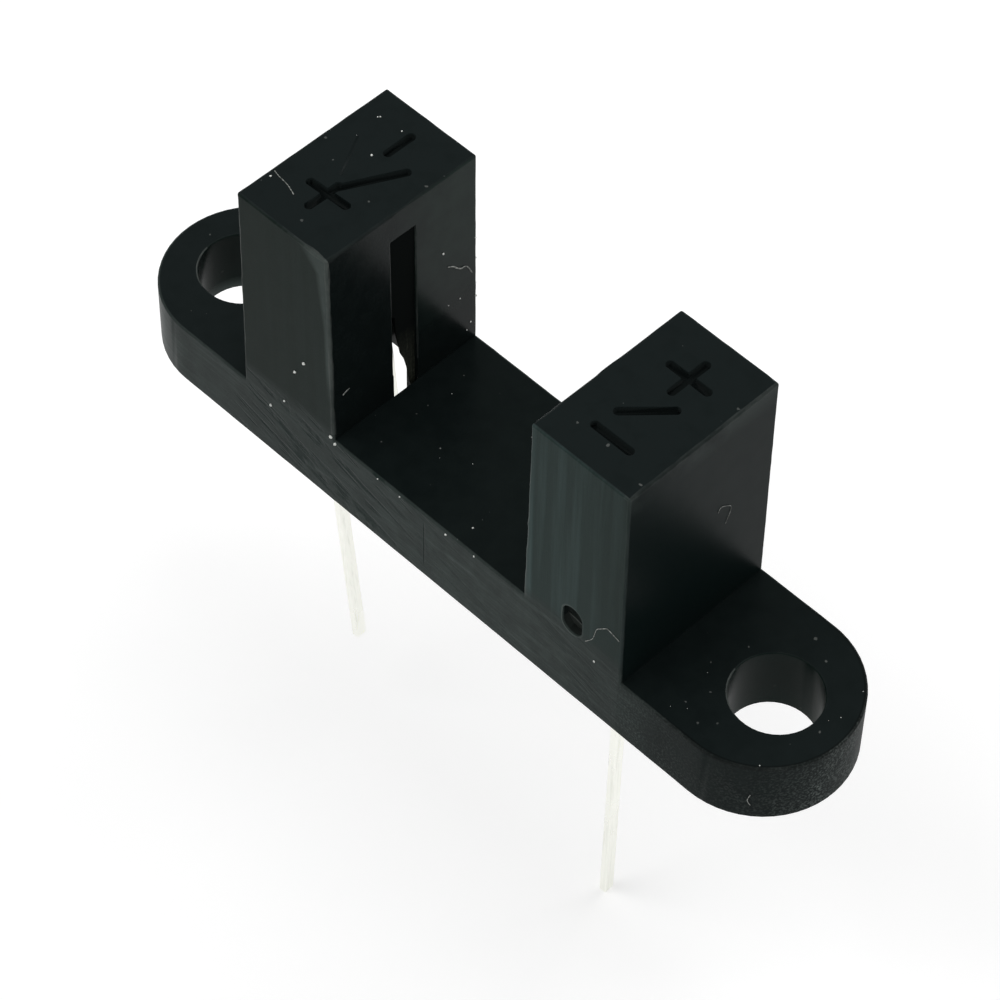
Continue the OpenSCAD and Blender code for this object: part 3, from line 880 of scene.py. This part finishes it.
pale_floor = bpy.data.materials.new("pale_floor")
pale_floor.use_nodes = True
tree = pale_floor.node_tree
tree.nodes.clear()
rays = node(tree, "ShaderNodeLightPath").outputs
shown = sum_of(tree, "MAXIMUM", rays["Is Camera Ray"], reflected_rays(rays, tree))
matt = node(tree, "ShaderNodeBsdfDiffuse", {"Color": (*floor_white, 1)})
glow = node(tree, "ShaderNodeEmission", {"Strength": both(tree, shown, floor_glow)})
lit = node(tree, "ShaderNodeAddShader", {0: matt.outputs[0], 1: glow.outputs[0]})
clear = node(tree, "ShaderNodeBsdfTransparent")
side = node(tree, "ShaderNodeNewGeometry").outputs["Backfacing"]
surface = node(tree, "ShaderNodeMixShader", {0: side, 1: lit.outputs[0], 2: clear.outputs[0]})
node(tree, "ShaderNodeOutputMaterial", {"Surface": surface.outputs[0]})
floor.data.materials.append(pale_floor)

room = bpy.data.worlds.new("white_room")
room.use_nodes = True
bpy.context.scene.world = room
tree = room.node_tree
tree.nodes.clear()
rays = node(tree, "ShaderNodeLightPath").outputs
direction = node(tree, "ShaderNodeTexCoord").outputs["Generated"]
towards_card = node(
    tree, "ShaderNodeVectorMath", {0: direction, 1: card_towards},
    operation="DOT_PRODUCT").outputs["Value"]
mirrored = ramp(tree, towards_card, card_edge, card_core, 1.0, card_level)
level = ramp(tree, rays["Is Camera Ray"], 0.0, 1.0, room_light, 1.0)
reflected = reflected_rays(rays, tree)
direct = both(tree, level, sum_of(tree, "SUBTRACT", 1.0, reflected))
level = total(tree, direct, both(tree, mirrored, reflected))
walls = node(tree, "ShaderNodeBackground", {"Color": (1, 1, 1, 1), "Strength": level})
node(tree, "ShaderNodeOutputWorld", {"Surface": walls.outputs[0]})

lamps = {
    "key": ((-0.12, -0.14, 0.28), 0.16, 0.2),
    "top": ((0.04, 0.06, 0.32), 0.16, 0.15),
    "back": ((0.02, 0.22, 0.22), 0.16, 0.1),
}
for name, (spot, size, power) in lamps.items():
    light = bpy.data.lights.new(name + "_lamp", "AREA")
    light.size = size
    light.energy = power
    lamp = bpy.data.objects.new(name + "_lamp", light)
    lamp.location = spot
    lamp.rotation_euler = (-Vector(spot)).to_track_quat("-Z", "Y").to_euler()
    lamp.visible_camera = False
    lamp.visible_glossy = False
    bpy.context.scene.collection.objects.link(lamp)

# Camera: the photograph's viewpoint, above and to the right of the front, with a long lens.
# It was held with a slight roll, and nothing is out of focus.
camera_place = (52.064 * MM, -53.539 * MM, 96.282 * MM)
camera_turn = 44.1666
camera_down = 51.8819
camera_roll = 1.2995
picture_width = 36.0
focal_length = 144.38

lens = bpy.data.cameras.new("photo_camera")
lens.sensor_width = picture_width
lens.lens = focal_length
lens.clip_start = 0.01
camera = bpy.data.objects.new("photo_camera", lens)
turn = Matrix.Rotation(math.radians(camera_turn), 4, "Z")
tip = Matrix.Rotation(math.radians(90 - camera_down), 4, "X")
roll = Matrix.Rotation(math.radians(camera_roll), 4, "Z")
camera.matrix_world = Matrix.Translation(camera_place) @ turn @ tip @ roll
bpy.context.scene.collection.objects.link(camera)
bpy.context.scene.camera = camera
bpy.context.scene.view_settings.view_transform = "Standard"
